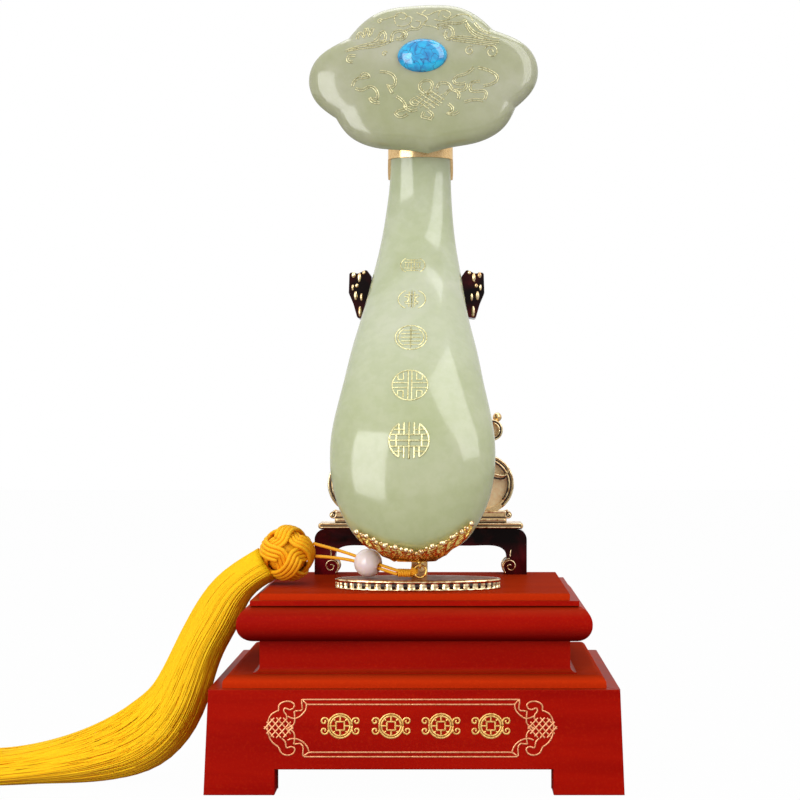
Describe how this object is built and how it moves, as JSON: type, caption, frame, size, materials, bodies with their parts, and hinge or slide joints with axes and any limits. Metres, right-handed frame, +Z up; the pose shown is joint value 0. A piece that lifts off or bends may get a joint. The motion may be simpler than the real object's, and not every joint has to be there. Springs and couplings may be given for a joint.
{
  "type": "ruyi scepter on stand",
  "caption": "Jade ruyi scepter with lobed head and inlaid handle, leaning on a gilt metal stand over a stepped red lacquer plinth, with a silk tassel.",
  "frame": {"origin": "middle of the plinth's footprint, on the surface it stands on", "axes": "+Z up, front faces -Y, +X to the viewer's right as seen from the front"},
  "size_m": [0.3464, 0.13, 0.4287],
  "materials": {
    "red_lacquer": "polished red lacquer over wood",
    "bare_wood": "planed, unfinished",
    "felt": "pressed felt",
    "steel": "turned steel",
    "gilt_metal": "polished gilding with dark lines",
    "gold_inlay": "satin gold inlay",
    "gold_on_jade": "pale gold fretwork",
    "dark_enamel": "glossy dark brown enamel",
    "peach_enamel": "satin peach enamel",
    "jade": "polished pale green jade",
    "olive_jade": "polished olive green jade",
    "turquoise": "polished cabochon with dark veins",
    "filigree_gold": "warm gold filigree",
    "golden_silk": "braided silk",
    "pink_quartz": "polished, slightly clear",
    "tassel_silk": "loose silk threads"
  },
  "bodies": {
    "base": {"front_apron": "red_lacquer", "back_apron": "red_lacquer", "left_apron": "red_lacquer", "right_apron": "red_lacquer", "cap_board": "red_lacquer", "waist_block": "red_lacquer", "torus_board": "red_lacquer", "top_board": "red_lacquer", "stand_rim": "gilt_metal", "stand_cushion": "gilt_metal", "scroll_frame": "gilt_metal", "back_post": "gilt_metal", "rest_yoke": "gilt_metal", "fluted_plate": "gilt_metal", "tail_seat": "gilt_metal", "cartouche_inlay": "gold_inlay", "motif_inlays": "gold_inlay", "corner_blocks": "bare_wood", "felt_pads": "felt", "layer_screws": "steel", "metal_screws": "steel", "stand_table": "dark_enamel", "left_arm": "dark_enamel", "right_arm": "dark_enamel", "scroll_infill": "peach_enamel", "rest_pad": "felt"},
    "scepter": {"handle_jade": "jade", "head_jade": "olive_jade", "neck_pin": "steel", "neck_ferrule": "gilt_metal", "cabochon": "turquoise", "medallion_1": "gold_on_jade", "medallion_2": "gold_on_jade", "medallion_3": "gold_on_jade", "medallion_4": "gold_on_jade", "medallion_5": "gold_on_jade", "tail_mount": "filigree_gold"},
    "pendant": {"tail_ring": "filigree_gold", "cord_wrap": "golden_silk", "cord_strand_upper": "golden_silk", "cord_strand_lower": "golden_silk", "pendant_knot": "golden_silk", "tassel": "tassel_silk"},
    "bead_body": {"bead": "pink_quartz"}
  },
  "joints": [
    {"name": "scepter_lift", "type": "slide", "parent": "base", "child": "scepter", "axis": [0, -0.5, 0.866], "range_m": [0, 0.06]},
    {"name": "tassel_swing", "type": "hinge", "parent": "scepter", "child": "pendant", "pos_m": [0.0023, -0.033, 0.1097], "axis": [0, 1, 0], "range_deg": [0, 6]},
    {"name": "bead_slide", "type": "slide", "parent": "pendant", "child": "bead_body", "axis": [-0.8845, 0.398, 0.2433], "range_m": [0, 0.003]}
  ]
}
